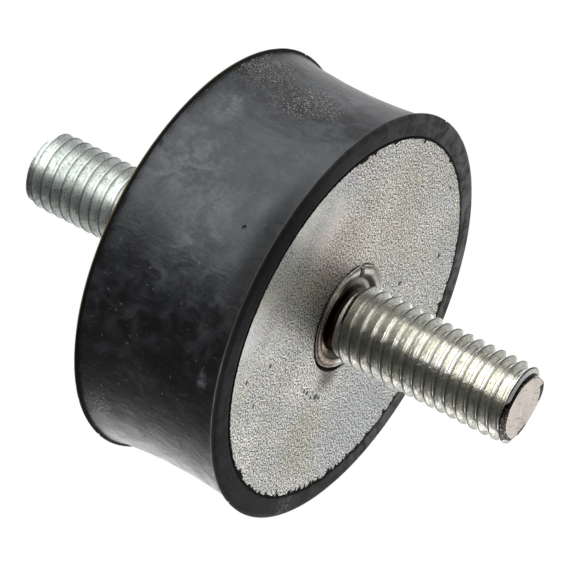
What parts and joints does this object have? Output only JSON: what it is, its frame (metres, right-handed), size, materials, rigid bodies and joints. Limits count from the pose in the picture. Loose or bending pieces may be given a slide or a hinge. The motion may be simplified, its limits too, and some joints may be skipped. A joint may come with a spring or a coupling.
{
  "type": "bobbin vibration mount",
  "caption": "Round waisted rubber mount bonded between two steel end plates, with a threaded stud swaged into each plate.",
  "frame": {"origin": "middle of the rubber body, on the stud axis", "axes": "+Z along the stud axis, out of the upper plate"},
  "size_m": [0.052, 0.052, 0.0706],
  "materials": {
    "rubber": "moulded natural rubber, satin, dusty",
    "plate_steel": "zinc plated, matte and granular",
    "stud_steel": "zinc plated, bright rolled thread"
  },
  "bodies": {
    "root": {"rubber_body": "rubber", "upper_plate": "plate_steel", "lower_plate": "plate_steel", "upper_stud": "stud_steel", "lower_stud": "stud_steel"}
  },
  "joints": []
}
